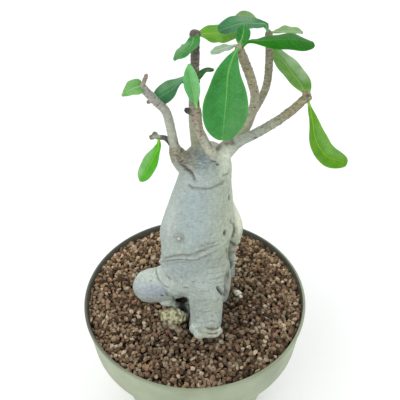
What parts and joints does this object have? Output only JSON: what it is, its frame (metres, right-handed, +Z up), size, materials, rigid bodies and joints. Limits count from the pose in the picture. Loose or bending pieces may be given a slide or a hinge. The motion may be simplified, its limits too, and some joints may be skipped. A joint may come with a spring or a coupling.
{
  "type": "potted desert rose adenium",
  "caption": "Desert rose with a swollen pale grey trunk, toe-like root, bare branches and glossy green leaf tips, standing in grit in a round collared plastic pot.",
  "frame": {"origin": "centre of the pot's flat base, on the surface that the pot stands on", "axes": "+Z up along the pot's axis, -Y towards the viewer of the plant's front with the toe-like root and the corky stub, +X to the viewer's right"},
  "size_m": [0.1789, 0.17, 0.3333],
  "materials": {
    "pot_plastic": "moulded polypropylene, pale sage grey-green, satin with a light rim edge",
    "grit": "dry loose volcanic grains of 3 to 4 mm in brown, red-brown, tan and pinkish tones, dull",
    "bark": "smooth pale grey living skin with a green and bluish tint, brown creases and corky scars, olive-brown towards the tips",
    "leaf": "living leathery leaf, waxy gloss, pale midrib, from yellow-green to dark bluish green"
  },
  "bodies": {
    "root": {"pot": "pot_plastic", "grit": "grit", "plant": "bark", "leaf_01": "leaf", "leaf_02": "leaf", "leaf_03": "leaf", "leaf_04": "leaf", "leaf_05": "leaf", "leaf_06": "leaf", "leaf_07": "leaf", "leaf_08": "leaf", "leaf_09": "leaf", "leaf_10": "leaf", "leaf_11": "leaf", "leaf_12": "leaf", "leaf_13": "leaf", "leaf_14": "leaf", "leaf_15": "leaf", "leaf_16": "leaf"}
  },
  "joints": []
}
